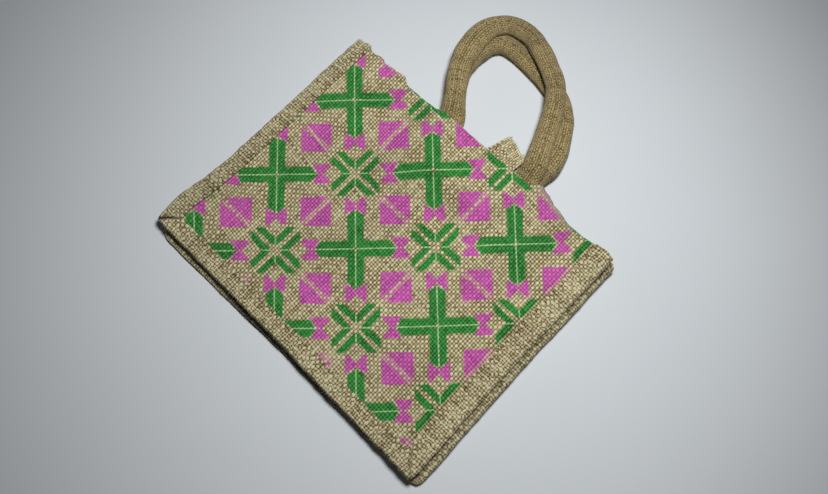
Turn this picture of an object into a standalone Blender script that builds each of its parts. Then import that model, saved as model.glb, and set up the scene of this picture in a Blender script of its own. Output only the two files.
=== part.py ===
"""A printed burlap shopping bag, folded flat on its back panel, with both handles laid out above
its mouth. X runs across the bag, Y from its foot to its mouth, Z up.

Run with: blender --background --python part.py
"""
import math

import bmesh
import bpy
from mathutils import Vector

MM = 0.001

# ---- the cloth, in millimetres ----
CLOTH = 1.2                  # thickness of the burlap
GAP = 0.45                   # air between two layers that lie on each other
STEP = CLOTH + GAP           # from one layer's middle to the next one's
SEAM_INSET = 3.2             # raw edges of panels and gusset, in from the rim's outer fold
# widths of the bindings on the outside of the bag, as they lie: left, foot, right
FRONT_BORDER = (15.4, 15.3, 18.8)
BACK_BORDER = (16.5, 16.5, 16.5)
BORDER_UNDER = (14.0, 14.0, 14.0)
HEM = 26.0                   # cloth turned in along the mouth
HEM_RISE = (60.0, 97.0)      # y over which the layers climb over the hems and the handles' ends
GUSSET_FOLD = 45.0           # how far in the gusset is folded, about half the bag's depth
FOLD_RADIUS = 1.3            # of the gusset's fold

# ---- where the middle of the object's box lies, seen from the middle of the print ----
PLACE = (14.3, 75.87)

# ---- the two outlines as they lie, from the middle of the print ----
# corner:      mouth left        foot left          foot right        mouth right
FRONT_RIM = ((-131.0, 136.0), (-132.8, -95.0), (157.8, -99.8), (158.2, 136.0))
BACK_RIM = ((-128.0, 134.0), (-126.0, -101.4), (165.4, -101.0), (163.8, 132.0))
FRONT_CORNER = 4.0           # radius of the front rim's foot corners
BACK_CORNER = 11.0

# ---- the front's top edge: x, y ----
MOUTH_LINE = ((-133, 135.8), (-125, 136.3), (-119.5, 138.2), (-113, 136.0), (-103, 137.6), (-97, 135.6),
              (-88, 137.3), (-77, 138.9), (-70, 134.4), (-37, 134.8), (-27, 137.6), (66, 137.8),
              (75, 144.6), (83, 143.2), (95, 139.5), (114, 135.2), (126, 135.0), (140, 136.6),
              (149, 137.9), (158, 136.3))
BACK_MOUTH_LINE = ((-129, 134.0), (110, 134.0), (154, 136.0), (164, 131.5))

# ---- where the rims are pushed out of line: x, y, reach, push x, push y ----
PUSHES = ((-134, -70, 26, -4.2, 0.0),
          (0, -98, 50, 0.0, 0.9),
          (158, -99, 30, 0.0, -0.7),
          (160, 10, 60, -1.3, 0.0))

# ---- where the front layer stands off the back one: x, y, reach, lift ----
LIFTS = ((-134, -92, 42, 1.8),
         (-55, -97, 34, 0.7),
         (150, -90, 46, 2.6),
         (62, -97, 40, 1.2),
         (-130, 60, 45, 0.8),
         (158, 40, 50, 0.5),
         (155, 128, 36, 0.8))

# ---- soft troughs and ridges inside the front panel: x, y, reach, height ----
RELIEF = ((-60, 20, 38, 0.5),
          (5, -25, 45, -0.4),
          (75, 30, 42, 0.45),
          (-10, 70, 36, -0.35),
          (100, -45, 30, 0.4),
          (-95, -50, 26, 0.45))
SAG = 1.5                    # how far the front panel sinks inside its border

# ---- handles, sewn in under the hems ----
HANDLE_WIDTH = 18.4
HANDLE_THICK = 12.0
PRESSED = 0.375              # how thin the sewn ends are pressed, as a share of the handle
PRESSED_WIDE = 1.15
HANDLE_END = 99.0            # y of the sewn ends
HANDLE_FREE = 139.5          # y where the handles begin to swell out of their pressed ends
LEG_LIFT = 3.3               # how far the handles lift the front panel
LEG_X = (-20.0, 61.0)
LEG_REACH = 21.0
# x, y, z of the middle of each handle
FRONT_ROUTE = ((-17.5, HANDLE_END, 10.45), (-18.5, 118, 10.45), (-22.5, 137, 10.45), (-25.8, 144, 12.8),
               (-29.5, 150, 16.2), (-34.5, 157, 18.6), (-41.5, 166.5, 18.8), (-47.5, 176.5, 18.8),
               (-51.8, 186.5, 18.8), (-54.3, 196.5, 18.7), (-55.6, 207.5, 18.3), (-55.5, 218, 17.4),
               (-52.7, 227.4, 16), (-47.2, 236.3, 13.3), (-39.6, 242.7, 10.2), (-29.5, 244.4, 9.6),
               (-19.2, 242.3, 12.8), (-9.8, 237.8, 16), (-2.3, 234.3, 17.4), (7.3, 229.4, 18.2),
               (16.5, 224.2, 18.7), (25.5, 217, 18.8), (34.5, 205.5, 18.8), (40, 195.3, 18.8),
               (46, 183.2, 18.8), (51, 171.5, 18.8), (55.7, 161, 18.8), (59, 153, 17.6), (60.5, 147, 15),
               (61, 142, 12.2), (61, 137, 10.45), (61.2, 118, 10.45), (61.2, HANDLE_END, 10.45))
BACK_ROUTE = ((-14.5, HANDLE_END - 2, 5.45), (-15.5, 117, 5.45), (-19.5, 135, 5.45), (-23.5, 143, 5.5),
              (-30.5, 152, 5.8), (-38, 162, 6), (-44.3, 172, 6), (-48.8, 182.3, 6), (-50.8, 192.5, 6),
              (-50.6, 203.4, 6), (-48.5, 213.5, 6), (-42.5, 221.4, 6), (-33.8, 225.7, 6),
              (-21.4, 226.8, 6), (-10.6, 226.2, 6), (0, 225, 6), (10.3, 223.4, 6), (22, 220.8, 6),
              (33.5, 216.8, 6), (43, 210, 6), (52, 199.9, 6), (60, 185, 6), (64, 173.2, 6), (65, 162, 6),
              (64.6, 151, 5.8), (64.4, 142, 5.5), (64.6, 135, 5.45), (65, 117, 5.45),
              (65.4, HANDLE_END - 2, 5.45))
HANDLE_SPACING = 8.6         # between two rings of a handle's tube

# ---- the tab under the front hem: its corners, and its height at the sewn end and the free end ----
TAB_FOOT = ((12.0, 113.0), (43.5, 113.0))
TAB_HEAD = ((24.0, 161.5), (48.5, 155.5))
TAB_Z = (10.4, 8.2)

# ---- layers of the rims, from the surface the bag lies on: height of each layer's middle ----
BACK_FOOT = CLOTH / 2
BACK_PANEL = BACK_FOOT + STEP
BACK_GUSSET = BACK_PANEL + STEP
BACK_COVER = BACK_GUSSET + STEP
FRONT_FOOT = BACK_COVER + STEP + 0.4
FRONT_GUSSET = FRONT_FOOT + STEP
FRONT_PANEL = FRONT_GUSSET + STEP
FRONT_COVER = FRONT_PANEL + STEP
FOLD_HEIGHT = 5.2            # of the gusset's fold

# ---- how finely the sheets are divided ----
# y of the rows that all sheets share, so that they lie parallel where they are stacked
LEVELS = (-84, -76, -66, -50, -33, -16, 1, 18, 36, 52, 64, 76, 88, 97, 104, 113, 124)
STACKED = 52                 # above this y the rows don't shift with the inset
FOOT_STEPS = 20
CORNER_STEPS = 3
FRONT_COLUMNS = 32
BACK_COLUMNS = 24


def smooth(value):
    """0 below 0, 1 above 1, with a soft start and end between."""
    value = min(max(value, 0.0), 1.0)
    return value * value * (3 - 2 * value)


def mix(a, b, share):
    return a + (b - a) * share


def follow(line, x):
    """The height at x of a line given as rows of x, y."""
    for (x0, y0), (x1, y1) in zip(line, line[1:]):
        if x <= x1:
            return mix(y0, y1, smooth((x - x0) / (x1 - x0)))
    return line[-1][1]


def bumps(table, x, y):
    """The sum of soft round bumps given as rows of x, y, reach, height."""
    return sum(height * math.exp(-((x - bx) ** 2 + (y - by) ** 2) / (2 * (reach / 2) ** 2))
               for bx, by, reach, height in table)


def lie(x, y):
    """A flat drawing's point, moved to where the cloth really lies."""
    dx = sum(px * math.exp(-((x - bx) ** 2 + (y - by) ** 2) / reach ** 2) for bx, by, reach, px, py in PUSHES)
    dy = sum(py * math.exp(-((x - bx) ** 2 + (y - by) ** 2) / reach ** 2) for bx, by, reach, px, py in PUSHES)
    return x + dx, y + dy


def from_rim(rim, x, y):
    """How far in from a rim's left, foot or right side a point is."""
    left = mix(rim[1][0], rim[0][0], (y - rim[1][1]) / (rim[0][1] - rim[1][1]))
    right = mix(rim[2][0], rim[3][0], (y - rim[2][1]) / (rim[3][1] - rim[2][1]))
    foot = mix(rim[1][1], rim[2][1], (x - rim[1][0]) / (rim[2][0] - rim[1][0]))
    return min(x - left, right - x, y - foot)


def hem_share(y):
    """1 beside the hems, 0 further down the bag."""
    return smooth((y - HEM_RISE[0]) / (HEM_RISE[1] - HEM_RISE[0]))


def lift(x, y):
    """How far the front layer stands off the back one."""
    return bumps(LIFTS, x, y)


def leg_rise(x, y):
    """How far the front panel is lifted by the handles' sewn ends."""
    over = sum(math.exp(-((x - leg) / LEG_REACH) ** 4) for leg in LEG_X)
    between = 0.6 * smooth((x - LEG_X[0]) / 20) * smooth((LEG_X[1] - x) / 20)
    return LEG_LIFT * max(min(over, 1.0), between) * hem_share(y)


def front_height(x, y):
    """The front panel's middle height."""
    inside = from_rim(FRONT_RIM, x, y) - max(FRONT_BORDER)
    sink = SAG * smooth(inside / 50)
    return (FRONT_PANEL + lift(x, y) + 2 * STEP * hem_share(y) - sink + leg_rise(x, y)
            + smooth(inside / 20) * bumps(RELIEF, x, y))


def back_height(x, y):
    """The back panel's middle height: on the binding at the rim, on the surface inside it."""
    return mix(BACK_PANEL, BACK_FOOT, smooth((from_rim(BACK_RIM, x, y) - max(BACK_BORDER) - 4) / 16))


def cloth(name, columns, rows, place, material):
    """A sheet of burlap: a grid whose every point is put in its place, then given its thickness."""
    mesh = bpy.data.meshes.new(name)
    bm = bmesh.new()
    bmesh.ops.create_grid(bm, x_segments=columns, y_segments=rows, size=1.0)
    for vert in bm.verts:
        column = round((vert.co.x + 1) / 2 * columns)
        row = round((vert.co.y + 1) / 2 * rows)
        x, y, z = place(column, row)
        x, y = lie(x, y)
        vert.co = Vector(((x - PLACE[0]) * MM, (y - PLACE[1]) * MM, z * MM))
    bmesh.ops.recalc_face_normals(bm, faces=bm.faces)
    bm.to_mesh(mesh)
    bm.free()
    sheet = bpy.data.objects.new(name, mesh)
    bag.objects.link(sheet)
    solidify = sheet.modifiers.new("thickness", "SOLIDIFY")
    solidify.thickness = CLOTH * MM
    solidify.offset = 0.0
    mesh.materials.append(material)
    return sheet


def rim_path(rim, insets, corner, mouth_line):
    """Points along a rim from its mouth's left end, round its foot, to its mouth's right end.
    insets are how far in they lie on the left, at the foot and on the right."""
    left, up, right = insets
    mouth_left, foot_left, foot_right, mouth_right = (Vector(point) for point in rim)
    mouth_left = Vector((mouth_left.x + left, follow(mouth_line, mouth_left.x + left)))
    mouth_right = Vector((mouth_right.x - right, follow(mouth_line, mouth_right.x - right)))
    foot_left += Vector((left, up))
    foot_right += Vector((-right, up))
    radius = max(corner - up, 1.0)
    left_turn = corner_arc(mouth_left, foot_left, foot_right, radius)
    right_turn = corner_arc(foot_left, foot_right, mouth_right, radius)
    foot = [left_turn[-1].lerp(right_turn[0], step / FOOT_STEPS) for step in range(1, FOOT_STEPS)]
    return ([mouth_left] + side_points(mouth_left, left_turn[0]) + left_turn + foot + right_turn
            + side_points(mouth_right, right_turn[-1])[::-1] + [mouth_right])


def corner_arc(start, turn, end, radius):
    """A round corner at turn, between the lines from start and to end."""
    before = turn + (start - turn).normalized() * radius
    after = turn + (end - turn).normalized() * radius
    shares = [step / CORNER_STEPS for step in range(CORNER_STEPS + 1)]
    return [before.lerp(turn, share).lerp(turn.lerp(after, share), share) for share in shares]


def side_points(mouth, foot):
    """The shared rows' points on a line down the bag's side; low rows close up to clear its foot."""
    squeeze = (STACKED - foot.y) / (STACKED - LEVELS[0] + 8)
    rows = [level if level > STACKED else STACKED - (STACKED - level) * squeeze for level in reversed(LEVELS)]
    return [mouth.lerp(foot, (mouth.y - y) / (mouth.y - foot.y)) for y in rows]


def rim_columns():
    return 2 * (len(LEVELS) + 1) + FOOT_STEPS + 2 * CORNER_STEPS


def panel(name, rim, corner, mouth_line, height, hem_side, columns, material):
    """A panel with its hem: up the bag, over the fold at the mouth and back inside the bag.
    hem_side is -1 where the hem lies under the panel, 1 where it lies on it."""
    flat_rows = len(LEVELS) + 1
    turns = 4
    hem_levels = [level for level in reversed(LEVELS) if level > LEVELS[-1] - HEM / 2]
    rows = flat_rows + turns + len(hem_levels) + 1
    radius = STEP / 2
    foot = max(rim[1][1], rim[2][1]) + SEAM_INSET

    def place(column, row):
        across = column / columns
        level = LEVELS[min(row, flat_rows - 1) - 1] if row else foot
        up = (level - foot) / (rim[0][1] - foot)
        cut = SEAM_INSET + (0.7 * corner if row == 0 else 0.0)
        left = mix(rim[1][0], rim[0][0], up) + cut
        right = mix(rim[2][0], rim[3][0], up) - cut
        x = mix(left, right, across)
        fold = follow(mouth_line, x) - CLOTH / 2 - radius
        if row < flat_rows:
            y = level if row else mix(rim[1][1], rim[2][1], across) + SEAM_INSET
            return x, y, height(x, y)
        if row <= flat_rows + turns:
            angle = math.pi * (row - flat_rows) / turns
            return (x, fold + radius * math.sin(angle),
                    height(x, fold) + hem_side * radius * (1 - math.cos(angle)))
        below = row - flat_rows - turns - 1
        y = hem_levels[below] if below < len(hem_levels) else fold - HEM
        return x, y, height(x, y) + hem_side * STEP

    return cloth(name, columns, rows, place, material)


def gusset(material):
    """The strip between the panels, folded inwards along its middle, round three sides."""
    # in from the rim, height between the rim's 0 and the fold's 1; then the same going back
    half = ((SEAM_INSET, 0.0), (10.0, 0.0), (16.0, 0.0), (25.0, 0.45), (35.0, 0.85),
            (GUSSET_FOLD - FOLD_RADIUS, 1.0))
    turn_angles = (45, 90, 135)
    section = [(inset, share, -1, 0) for inset, share in half]
    section += [(GUSSET_FOLD - FOLD_RADIUS, 1.0, 0, angle) for angle in turn_angles]
    section += [(inset, share, 1, 180) for inset, share in reversed(half)]

    paths = []
    for inset, share, side, angle in section:
        inset += FOLD_RADIUS * math.sin(math.radians(angle))
        front = rim_path(FRONT_RIM, [inset] * 3, FRONT_CORNER, MOUTH_LINE)
        back = rim_path(BACK_RIM, [inset] * 3, BACK_CORNER, BACK_MOUTH_LINE)
        weight = 0.5 + side * 0.5 * (1 - smooth((inset - 16) / (GUSSET_FOLD - 16)))
        paths.append([a.lerp(b, weight) for a, b in zip(front, back)])

    def place(column, row):
        inset, share, side, angle = section[row]
        point = paths[row][column]
        x, y = point.x, min(point.y, follow(BACK_MOUTH_LINE, point.x) - 1.5)
        raise_here = STEP * hem_share(y)
        at_fold = (FOLD_HEIGHT + 0.8 * raise_here + 0.5 * lift(x, y)
                   + FOLD_RADIUS * math.cos(math.radians(angle)))
        if side < 0:
            at_rim = FRONT_GUSSET + lift(x, y) + raise_here
        else:
            at_rim = BACK_GUSSET + raise_here
        return x, y, mix(at_rim, at_fold, share)

    return cloth("gusset", rim_columns(), len(section) - 1, place, material)


def binding(name, rim, corner, mouth_line, low, high, front, material):
    """A strip folded round a rim's edges, with mitred corners at the bag's foot."""
    reach = 2.2                      # of the outer fold, sideways
    middle = CLOTH / 2 + reach
    upper, lower = (FRONT_BORDER, BORDER_UNDER) if front else (BORDER_UNDER, BACK_BORDER)
    # in from the rim on its three sides, share of the height from the lower leg to the upper one
    section = [([mix(width, middle, step / 3) for width in upper], 1.0) for step in range(4)]
    section += [([middle - reach * math.sin(math.radians(angle))] * 3,
                 0.5 + 0.5 * math.cos(math.radians(angle))) for angle in (36, 72, 108, 144)]
    section += [([mix(middle, width, step / 2) for width in lower], 0.0) for step in range(3)]
    paths = [rim_path(rim, insets, corner, mouth_line) for insets, share in section]

    def place(column, row):
        share = section[row][1]
        x, y = paths[row][column]
        layers = 1 if front else 0
        bottom = low + (lift(x, y) + STEP * hem_share(y)) * layers
        top = high + lift(x, y) * layers + STEP * hem_share(y) * (1 + layers)
        return x, y, mix(bottom, top, share)

    return cloth(name, rim_columns(), len(section) - 1, place, material)


def smooth_route(route, spacing):
    """Evenly spaced points on a smooth curve through the route's own points."""
    points = [Vector(point) for point in route]
    ends = [2 * points[0] - points[1]] + points + [2 * points[-1] - points[-2]]
    fine = []
    for a, b, c, d in zip(ends, ends[1:], ends[2:], ends[3:]):
        for step in range(20):
            t = step / 20
            fine.append(0.5 * (2 * b + (c - a) * t + (2 * a - 5 * b + 4 * c - d) * t ** 2
                               + (3 * b - a - 3 * c + d) * t ** 3))
    fine.append(points[-1])
    length = sum((b - a).length for a, b in zip(fine, fine[1:]))
    count = round(length / spacing)
    even = [fine[0]]
    travelled = 0.0
    for a, b in zip(fine, fine[1:]):
        travelled += (b - a).length
        if travelled >= length * len(even) / count and len(even) < count:
            even.append(b)
    return even + [fine[-1]]


def handle(name, route, material):
    """A padded tube of burlap, oval as it lies, with its ends pressed flat where they are sewn in."""
    points = smooth_route(route, HANDLE_SPACING)
    curve = bpy.data.curves.new(name + "_path", "CURVE")
    curve.dimensions = "3D"
    curve.bevel_depth = HANDLE_WIDTH / 2 * MM
    curve.bevel_resolution = 4
    curve.use_fill_caps = True
    spline = curve.splines.new("POLY")
    spline.points.add(len(points) - 1)
    for target, point in zip(spline.points, points):
        target.co = (point.x * MM, point.y * MM, point.z * MM, 1.0)
    path = bpy.data.objects.new(name + "_path", curve)
    bpy.context.scene.collection.objects.link(path)
    bpy.context.view_layer.update()
    mesh = bpy.data.meshes.new_from_object(path.evaluated_get(bpy.context.evaluated_depsgraph_get()))
    bpy.data.objects.remove(path)

    # the curve's mesh holds its end's cap, its start's cap and then its rings
    order = [len(points) - 1, 0] + list(range(len(points)))
    sides = len(mesh.vertices) // len(order)
    for index, vert in enumerate(mesh.vertices):
        ring = order[index // sides]
        middle = points[ring]
        along = (points[min(ring + 1, len(points) - 1)] - points[max(ring - 1, 0)]).normalized()
        across = along.cross(Vector((0, 0, 1))).normalized()
        up = across.cross(along)
        offset = vert.co / MM - middle
        full = smooth((middle.y - HANDLE_FREE) / 19)
        wide = mix(PRESSED_WIDE, 1.0, full)
        flat = HANDLE_THICK / HANDLE_WIDTH * mix(PRESSED, 1.0, full)
        x, y, z = middle + offset + across * offset.dot(across) * (wide - 1) + up * offset.dot(up) * (flat - 1)
        x, y = lie(x, y)
        vert.co = Vector(((x - PLACE[0]) * MM, (y - PLACE[1]) * MM, max(z, 0.0) * MM))

    bm = bmesh.new()
    bm.from_mesh(mesh)
    bmesh.ops.remove_doubles(bm, verts=bm.verts, dist=0.00005)
    bmesh.ops.recalc_face_normals(bm, faces=bm.faces)
    bm.to_mesh(mesh)
    bm.free()
    mesh.name = name
    mesh.materials.clear()
    mesh.materials.append(material)
    mesh.shade_smooth()
    tube = bpy.data.objects.new(name, mesh)
    bag.objects.link(tube)
    return tube


def tab(material):
    """The short strip sewn under the front hem, standing out of the mouth."""
    columns, rows = 5, 9

    def place(column, row):
        across, up = column / columns, row / rows
        x = mix(mix(TAB_FOOT[0][0], TAB_FOOT[1][0], across), mix(TAB_HEAD[0][0], TAB_HEAD[1][0], across), up)
        y = mix(mix(TAB_FOOT[0][1], TAB_FOOT[1][1], across), mix(TAB_HEAD[0][1], TAB_HEAD[1][1], across), up)
        return x, y, mix(TAB_Z[0], TAB_Z[1], smooth((up - 0.35) / 0.65))

    return cloth("tab", columns, rows, place, material)


def finish(name, colour, roughness):
    """A matt finish for one kind of jute cloth."""
    material = bpy.data.materials.new(name)
    material.use_nodes = True
    shader = material.node_tree.nodes["Principled BSDF"]
    shader.inputs["Base Color"].default_value = (*colour, 1.0)
    shader.inputs["Roughness"].default_value = roughness
    shader.inputs["Metallic"].default_value = 0.0
    return material


for leftover in list(bpy.data.objects):
    bpy.data.objects.remove(leftover)

bag = bpy.data.collections.new("burlap_bag")
bpy.context.scene.collection.children.link(bag)

printed_burlap = finish("printed_burlap", (0.40, 0.33, 0.21), 0.9)
plain_burlap = finish("plain_burlap", (0.40, 0.33, 0.21), 0.9)
binding_burlap = finish("binding_burlap", (0.37, 0.31, 0.19), 0.9)
handle_jute = finish("handle_jute", (0.27, 0.21, 0.11), 0.92)

panel("front_panel", FRONT_RIM, FRONT_CORNER, MOUTH_LINE, front_height, -1, FRONT_COLUMNS, printed_burlap)
panel("back_panel", BACK_RIM, BACK_CORNER, BACK_MOUTH_LINE, back_height, 1, BACK_COLUMNS, plain_burlap)
gusset(plain_burlap)
binding("front_binding", FRONT_RIM, FRONT_CORNER, MOUTH_LINE, FRONT_FOOT, FRONT_COVER, True, binding_burlap)
binding("back_binding", BACK_RIM, BACK_CORNER, BACK_MOUTH_LINE, BACK_FOOT, BACK_COVER, False, binding_burlap)
handle("handle_front", FRONT_ROUTE, handle_jute)
handle("handle_back", BACK_ROUTE, handle_jute)
tab(plain_burlap)
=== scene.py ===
"""The looks of a printed burlap bag that lies folded flat, with its two padded handles above its mouth.

X runs across the bag, Y from its foot to its mouth, Z up. The tables give lengths in millimetres, seen
from the middle of the print, as they lie; PLACE brings them to the frame.
"""
import math

import bmesh
import bpy
import numpy as np
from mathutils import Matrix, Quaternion, Vector


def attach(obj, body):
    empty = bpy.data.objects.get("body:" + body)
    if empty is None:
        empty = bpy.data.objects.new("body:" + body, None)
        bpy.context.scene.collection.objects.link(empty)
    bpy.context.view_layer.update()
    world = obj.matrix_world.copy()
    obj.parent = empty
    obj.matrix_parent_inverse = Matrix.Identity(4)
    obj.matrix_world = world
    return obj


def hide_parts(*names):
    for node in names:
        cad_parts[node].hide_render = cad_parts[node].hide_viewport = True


MM = 0.001

# ---- the construction's own sizes, in millimetres ----
PLACE = (14.3, 75.87)        # the frame's origin, in the tables' x and y
CLOTH = 1.2
STEP = 1.65                  # from one layer's middle to the next one's
SEAM_INSET = 3.2             # raw edges of panels and gusset, in from the rim's outer fold
# how wide the bindings are outside the bag at its left, foot and right, and inside it
FRONT_BORDER = (15.4, 15.3, 18.8)
BACK_BORDER = (16.5, 16.5, 16.5)
BORDER_UNDER = (14.0, 14.0, 14.0)
HEM = 26.0
HEM_RISE = (60.0, 97.0)      # between these y, what lies over the hems rises
GUSSET_FOLD = 45.0           # how far in the gusset's fold lies
FOLD_RADIUS = 1.3
# corner:      mouth left        foot left          foot right        mouth right
FRONT_RIM = ((-131.0, 136.0), (-132.8, -95.0), (157.8, -99.8), (158.2, 136.0))
BACK_RIM = ((-128.0, 134.0), (-126.0, -101.4), (165.4, -101.0), (163.8, 132.0))
FRONT_CORNER = 4.0           # how round the rims' foot corners are
BACK_CORNER = 11.0
# the folds at the mouth: x, y
MOUTH_LINE = ((-133, 135.8), (-125, 136.3), (-119.5, 138.2), (-113, 136.0), (-103, 137.6), (-97, 135.6),
              (-88, 137.3), (-77, 138.9), (-70, 134.4), (-37, 134.8), (-27, 137.6), (66, 137.8),
              (75, 144.6), (83, 143.2), (95, 139.5), (114, 135.2), (126, 135.0), (140, 136.6),
              (149, 137.9), (158, 136.3))
BACK_MOUTH_LINE = ((-129, 134.0), (110, 134.0), (148, 136.2), (154, 138.0), (160, 137.0), (162.8, 134.9),
                   (164.2, 131.4))
# where the cloth is pushed aside as it lies: x, y, reach, push x, push y
PUSHES = ((-134, -70, 26, -4.2, 0.0),
          (0, -98, 50, 0.0, 0.9),
          (158, -99, 30, 0.0, -0.7),
          (160, 10, 60, -1.3, 0.0))
# where the front's layers are lifted: x, y, reach, how far
LIFTS = ((-134, -92, 42, 1.8),
         (-55, -97, 34, 0.7),
         (150, -90, 46, 2.6),
         (62, -97, 40, 1.2),
         (-130, 60, 45, 0.8),
         (158, 40, 50, 0.5),
         (155, 128, 36, 0.8))
# soft swells and hollows of the front panel alone
RELIEF = ((-60, 20, 38, 0.5),
          (5, -25, 45, -0.4),
          (75, 30, 42, 0.45),
          (-10, 70, 36, -0.35),
          (100, -45, 30, 0.4),
          (-95, -50, 26, 0.45))
SAG = 1.5                    # how far the front panel sinks inside its rim
HANDLE_WIDTH = 18.4
HANDLE_THICK = 12.0
PRESSED = 0.375              # how much of the thickness is left where a handle is sewn in
PRESSED_WIDE = 1.15          # and how much wider it is there
HANDLE_END = 99.0            # the y of the sewn ends
HANDLE_FREE = 139.5          # the y where the handles come free of the hem
LEG_LIFT = 3.3               # how far the sewn ends lift the front
LEG_X = (-20.0, 61.0)
LEG_REACH = 21.0
# the handles' middles: x, y, z
FRONT_ROUTE = ((-17.5, HANDLE_END, 10.45), (-18.5, 118, 10.45), (-22.5, 137, 10.45), (-25.8, 144, 12.8),
               (-29.5, 150, 16.2), (-34.5, 157, 18.6), (-41.5, 166.5, 18.8), (-47.5, 176.5, 18.8),
               (-51.8, 186.5, 18.8), (-54.3, 196.5, 18.7), (-55.6, 207.5, 18.3), (-55.5, 218, 17.4),
               (-52.7, 227.4, 16), (-47.2, 236.3, 13.3), (-39.6, 242.7, 10.2), (-29.5, 244.4, 9.6),
               (-19.2, 242.3, 12.8), (-9.8, 237.8, 16), (-2.3, 234.3, 17.4), (7.3, 229.4, 18.2),
               (16.5, 224.2, 18.7), (25.5, 217, 18.8), (34.5, 205.5, 18.8), (40, 195.3, 18.8),
               (46, 183.2, 18.8), (51, 171.5, 18.8), (55.7, 161, 18.8), (59, 153, 17.6), (60.5, 147, 15),
               (61, 142, 12.2), (61, 137, 10.45), (61.2, 118, 10.45), (61.2, HANDLE_END, 10.45))
BACK_ROUTE = ((-14.5, HANDLE_END - 2, 5.45), (-15.5, 117, 5.45), (-19.5, 135, 5.45), (-23.5, 143, 5.5),
              (-30.5, 152, 5.8), (-38, 162, 6), (-44.3, 172, 6), (-48.8, 182.3, 6), (-50.8, 192.5, 6),
              (-50.6, 203.4, 6), (-48.5, 213.5, 6), (-42.5, 221.4, 6), (-33.8, 225.7, 6),
              (-21.4, 226.8, 6), (-10.6, 226.2, 6), (0, 225, 6), (10.3, 223.4, 6), (22, 220.8, 6),
              (33.5, 216.8, 6), (43, 210, 6), (52, 199.9, 6), (60, 185, 6), (64, 173.2, 6), (65, 162, 6),
              (64.6, 151, 5.8), (64.4, 142, 5.5), (64.6, 135, 5.45), (65, 117, 5.45),
              (65.4, HANDLE_END - 2, 5.45))
# the tab's corners, left and right, and its height under the hem and at its free end
TAB_FOOT = ((12.0, 113.0), (45.3, 113.0))
TAB_HEAD = ((24.0, 161.5), (49.2, 155.3))
TAB_Z = (10.4, 8.2)
# the layers' middles above the surface that the bag lies on
BACK_FOOT = CLOTH / 2
BACK_PANEL = BACK_FOOT + STEP
BACK_GUSSET = BACK_PANEL + STEP
BACK_COVER = BACK_GUSSET + STEP
FRONT_FOOT = BACK_COVER + STEP + 0.4
FRONT_GUSSET = FRONT_FOOT + STEP
FRONT_PANEL = FRONT_GUSSET + STEP
FRONT_COVER = FRONT_PANEL + STEP
FOLD_HEIGHT = 5.2            # of the gusset's fold

# ---- small forms of the cloth as it lies ----
# the back binding's outer strip stands up beside the front one, past these x and y
ROLL_X = (156.2, 159.2)
ROLL_Y = (-103.0, -80.0)
ROLL_RISE = 3.6
# a row of stitch pits lies between the two, sunk in and darkened with painted shade
PIT_X = 158.9
PIT_STEP = 5.5
PIT_WIDTH = 1.7
PIT_DEPTH = 1.4
PIT_PAINTED_SHADE = 0.85
# along the foot the back binding lies pressed flatter, but for its right end
DROOP_X = (120.0, 60.0)
DROOP = 1.7
# how open the front binding's mitres are, at the foot's left and right corner, and how much painted shade
# their gap gets
MITRES = (1.0, 0.35)
MITRE_DEPTH = 1.3
RIDGE = 0.35                 # the front binding's folded-in edge is this much thicker
# the back binding's fold gets painted shade along the foot between these x, and the front one's left side a
# little
PAINTED_SHADE_X = (-70.0, 158.0)
PAINTED_SHADE_FOOT = 0.8
PAINTED_SHADE_LEFT = 0.12
# where the two handles press on each other and swell: x, y, reach, how far
HANDLE_FIT = ((-46, 190, 16, 1.2),
              (-46, 199, 16, 1.6),
              (-48, 209, 16, 1.8),
              (-47, 218, 14, 0.8),
              (60, 178, 14, 1.0),
              (66, 166, 16, 1.8),
              (72, 154, 18, 2.2))
# where the back handle's top is drawn up against the front one
HANDLE_RISE = ((-44, 188, 22, 2.0),
               (-45, 203, 26, 3.2),
               (-41, 213, 20, 1.4),
               (62, 180, 24, 2.4),
               (70, 164, 28, 3.4),
               (72, 150, 24, 2.6))
HANDLE_SWELL = 0.7           # how much of a handle's bumps and weave shows in its height
HANDLE_LUMPS = ((0.45, 24, 0), (0.3, 9, 1))      # of its filling: how far, how wide, seed
RIPPLE = 0.22                # of the front and the bindings, up and down
TAB_RIPPLE = 0.3
# how the threads stray from straight lines: how far, over what length, seed
FRONT_UP = ((0.35, 31, 5), (0.08, 6, 6))
FRONT_ACROSS = ((0.35, 33, 7), (0.08, 6, 8))
BACK_UP = ((0.3, 31, 25), (0.14, 6, 26))
BINDING_ALONG = ((0.5, 13, 3), (0.2, 4, 4))
BINDING_FOLD = 0.42          # a binding as a whole, as its fold wanders
BINDING_EDGE = 0.3           # and its edges by themselves
TAB_STRAY = 0.35
TAB_RAGGED = 0.9             # at the tab's raw end
TAB_RAW_WIDTH = 24.5

# ---- the weave ----
PITCH = 2.47                 # from thread to thread, about ten to the inch
HANDLE_PITCH = 1.35          # the handles' cloth is finer
HANDLE_THREADS = 36          # round a handle
UNEVEN = 0.09                # how far the threads' spacing strays, as a share of the pitch
# how thick the cloth is where two threads cross, between two crossings, and in the open corners
THICK_CROSSING = 1.0
THICK_WARP = 0.76            # between two crossings on a warp thread, which runs up the bag
THICK_WEFT = 0.66            # and on a weft thread
THICK_CORNER = 0.3
THICK_HIDDEN = 0.8           # where the grid is too coarse for the weave
# how much of its thickness the cloth lacks at the thinnest crossings
PANEL_THIN = 0.12
BINDING_THIN = 0.45
TAB_THIN = 0.3
# the threads that run across the front aren't square to its sides: their fall, in degrees, at two x
THREAD_FALL = ((-120.0, 10.6), (140.0, 3.2))
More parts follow.
